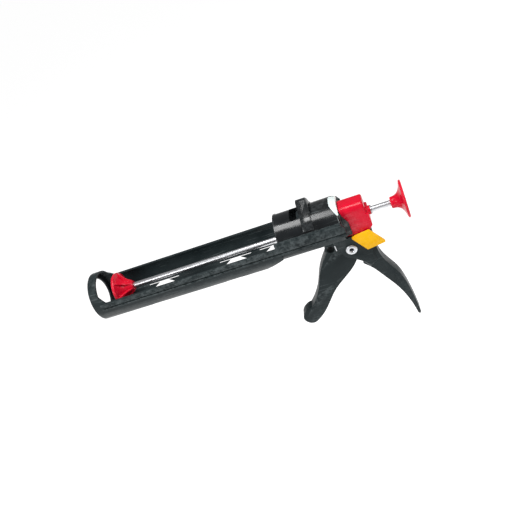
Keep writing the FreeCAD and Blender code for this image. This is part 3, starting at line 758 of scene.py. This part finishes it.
@dataclass
class Barrel:
    """Cradle, cover, tail pieces and housing."""

    cradle_edge: float = 0.45 * MM
    cover_edge: float = 0.35 * MM
    tab_edge: float = 0.5 * MM
    collar_edge: float = 0.35 * MM
    plate_edge: float = 0.3 * MM
    housing_edge: float = 0.6 * MM
    bush_edge: float = 0.25 * MM

    def build(self, shop: Workshop) -> None:
        """Round the edges of the moulded pieces and dress them.

        Args:
            shop: Frame and finishes.
        """
        shop.soften("cradle_frame", "cradle_moulding", Slot.BLACK, self.cradle_edge)
        shop.soften("barrel_cover", "cover_shell", Slot.SHELL, self.cover_edge)
        shop.soften("slide_catch", "tab_slider", Slot.SHELL, self.tab_edge)
        shop.soften("tail_ring", "tail_collar", Slot.NYLON, self.collar_edge)
        shop.soften("bulkhead_plate", "bulkhead", Slot.PLATE, self.plate_edge)
        shop.soften("drive_housing", "housing", Slot.RED, self.housing_edge, 3)
        shop.soften("rear_bush", "rod_collar", Slot.STEEL, self.bush_edge)
        shop.keep("front_bush", Slot.BRIGHT)
        shop.keep("housing_screws", Slot.STEEL)
        shop.keep("pivot_washers", Slot.NYLON)


@dataclass
class Handles:
    """Trigger, cutter, paddle and the works behind them."""

    trigger_edge: float = 1.6 * MM
    cutter_edge: float = 0.12 * MM
    paddle_edge: float = 0.4 * MM
    works_edge: float = 0.2 * MM

    def build(self, shop: Workshop) -> None:
        """Round and dress the handles and dress the inner parts.

        Args:
            shop: Frame and finishes.
        """
        shop.soften("trigger", "trigger_lever", Slot.BLACK, self.trigger_edge, 4)
        shop.soften("cutter_blade", "cutter", Slot.STEEL, self.cutter_edge, 1)
        shop.soften("release_lever", "paddle", Slot.YELLOW, self.paddle_edge)
        for node in ("drive_plate", "catch_plate", "release_cam"):
            shop.soften(node, node + "_body", Slot.STEEL, self.works_edge, 1)
        for node in ("return_spring", "catch_spring"):
            shop.keep(node, Slot.SPRING)


@dataclass
class RodSet:
    """Push rod and its small fasteners."""

    rod_edge: float = 0.4 * MM
    nut_edge: float = 0.3 * MM
    screw_edge: float = 0.2 * MM

    def build(self, shop: Workshop) -> None:
        """Dress the rod and fasteners.

        Args:
            shop: Frame and finishes.
        """
        shop.soften("push_rod", "rod", Slot.BRIGHT, self.rod_edge)
        shop.soften("pusher_nut", "front_nut", Slot.STEEL, self.nut_edge)
        shop.soften("knob_screw", "rear_cap_screw", Slot.STEEL, self.screw_edge)


@dataclass(frozen=True)
class Softbox:
    """One square area light.

    Places and sizes are in metres and the power is in watts.
    """

    name: str
    place: Place
    aim: Place
    size: float
    power: float

    def build(self) -> None:
        """Hang the light so that it faces its aim."""
        lamp = bpy.data.lights.new(self.name, "AREA")
        lamp.energy = self.power
        lamp.size = self.size
        holder = bpy.data.objects.new(self.name, lamp)
        holder.location = self.place
        towards = Vector(self.aim) - Vector(self.place)
        holder.rotation_euler = towards.to_track_quat("-Z", "Y").to_euler()
        bpy.context.scene.collection.objects.link(holder)


SOFTBOXES: Tuple[Softbox, ...] = (
    Softbox("key_light", (0.20, -0.20, 1.15), (0.18, 0.0, 0.0), size=0.5, power=13.0),
    Softbox("side_light", (-0.7, -1.0, 0.6), (0.15, 0.0, -0.03), size=0.4, power=6.0),
    Softbox("rear_light", (1.1, -0.5, 0.8), (0.3, 0.0, 0.0), size=0.4, power=4.0),
)


@dataclass
class Studio:
    """Pale floor, soft lights and the camera.

    Camera angles are in degrees, the lens and sensor in millimetres, the rest in metres.
    """

    lens: float = 45.2153
    sensor: float = 36.0
    clip_end: float = 120.0
    turn: float = 17.16
    rise: float = 32.82
    roll: float = 27.09
    distance: float = 0.69929
    target: Place = (0.18837, 0.0, -0.01074)
    floor_z: float = -0.75
    floor_size: float = 40.0
    floor_glow: float = 0.70
    surround: float = 0.30

    def build(self) -> None:
        """Set up everything around the gun."""
        self._floor()
        self._world()
        for light in SOFTBOXES:
            light.build()
        self._camera()

    def _floor(self) -> None:
        """Lay a wide pale floor well under the gun."""
        form = bmesh.new()
        bmesh.ops.create_grid(form, x_segments=1, y_segments=1, size=self.floor_size)
        bmesh.ops.translate(form, verts=form.verts, vec=(0.0, 0.0, self.floor_z))
        floor = piece_from("studio_floor", form)
        material = bpy.data.materials.new("studio_pale")
        material.use_nodes = True
        shader = material.node_tree.nodes["Principled BSDF"]
        shader.inputs["Base Color"].default_value = (0.96, 0.96, 0.96, 1.0)
        shader.inputs["Roughness"].default_value = 0.9
        shader.inputs["Emission Color"].default_value = (1.0, 1.0, 1.0, 1.0)
        shader.inputs["Emission Strength"].default_value = self.floor_glow
        floor.data.materials.append(material)
        floor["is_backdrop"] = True

    def _world(self) -> None:
        """Fill the surroundings with even white light."""
        world = bpy.data.worlds.new("studio_world")
        world.use_nodes = True
        background = world.node_tree.nodes["Background"]
        background.inputs["Color"].default_value = (1.0, 1.0, 1.0, 1.0)
        background.inputs["Strength"].default_value = self.surround
        bpy.context.scene.world = world
        bpy.context.scene.view_settings.view_transform = "Standard"

    def _camera(self) -> None:
        """Place the camera and make it the scene's own."""
        turn, rise, roll = (math.radians(a) for a in (self.turn, self.rise, self.roll))
        look = Vector((-math.sin(turn) * math.cos(rise), math.cos(turn) * math.cos(rise), -math.sin(rise)))
        right = Vector((math.cos(turn), math.sin(turn), 0.0))
        up = right.cross(look)
        across = right * math.cos(roll) - up * math.sin(roll)
        above = right * math.sin(roll) + up * math.cos(roll)
        camera = bpy.data.cameras.new("view_camera")
        camera.sensor_width = self.sensor
        camera.lens = self.lens
        camera.clip_end = self.clip_end
        holder = bpy.data.objects.new("view_camera", camera)
        turned_to = Matrix((across, above, -look)).transposed().to_4x4()
        turned_to.translation = Vector(self.target) - look * self.distance
        holder.matrix_world = turned_to
        bpy.context.scene.collection.objects.link(holder)
        bpy.context.scene.camera = holder


def main() -> None:
    """Build the gun, piece by piece, and its studio."""
    logging.basicConfig(level=logging.INFO, format="%(message)s")
    shop = Workshop()
    for part in (Barrel(), Handles(), RodSet(), Pusher(), Knob(), Rivet()):
        LOG.info("building %s", type(part).__name__)
        part.build(shop)
    Studio().build()


if __name__ == "__main__":
    main()
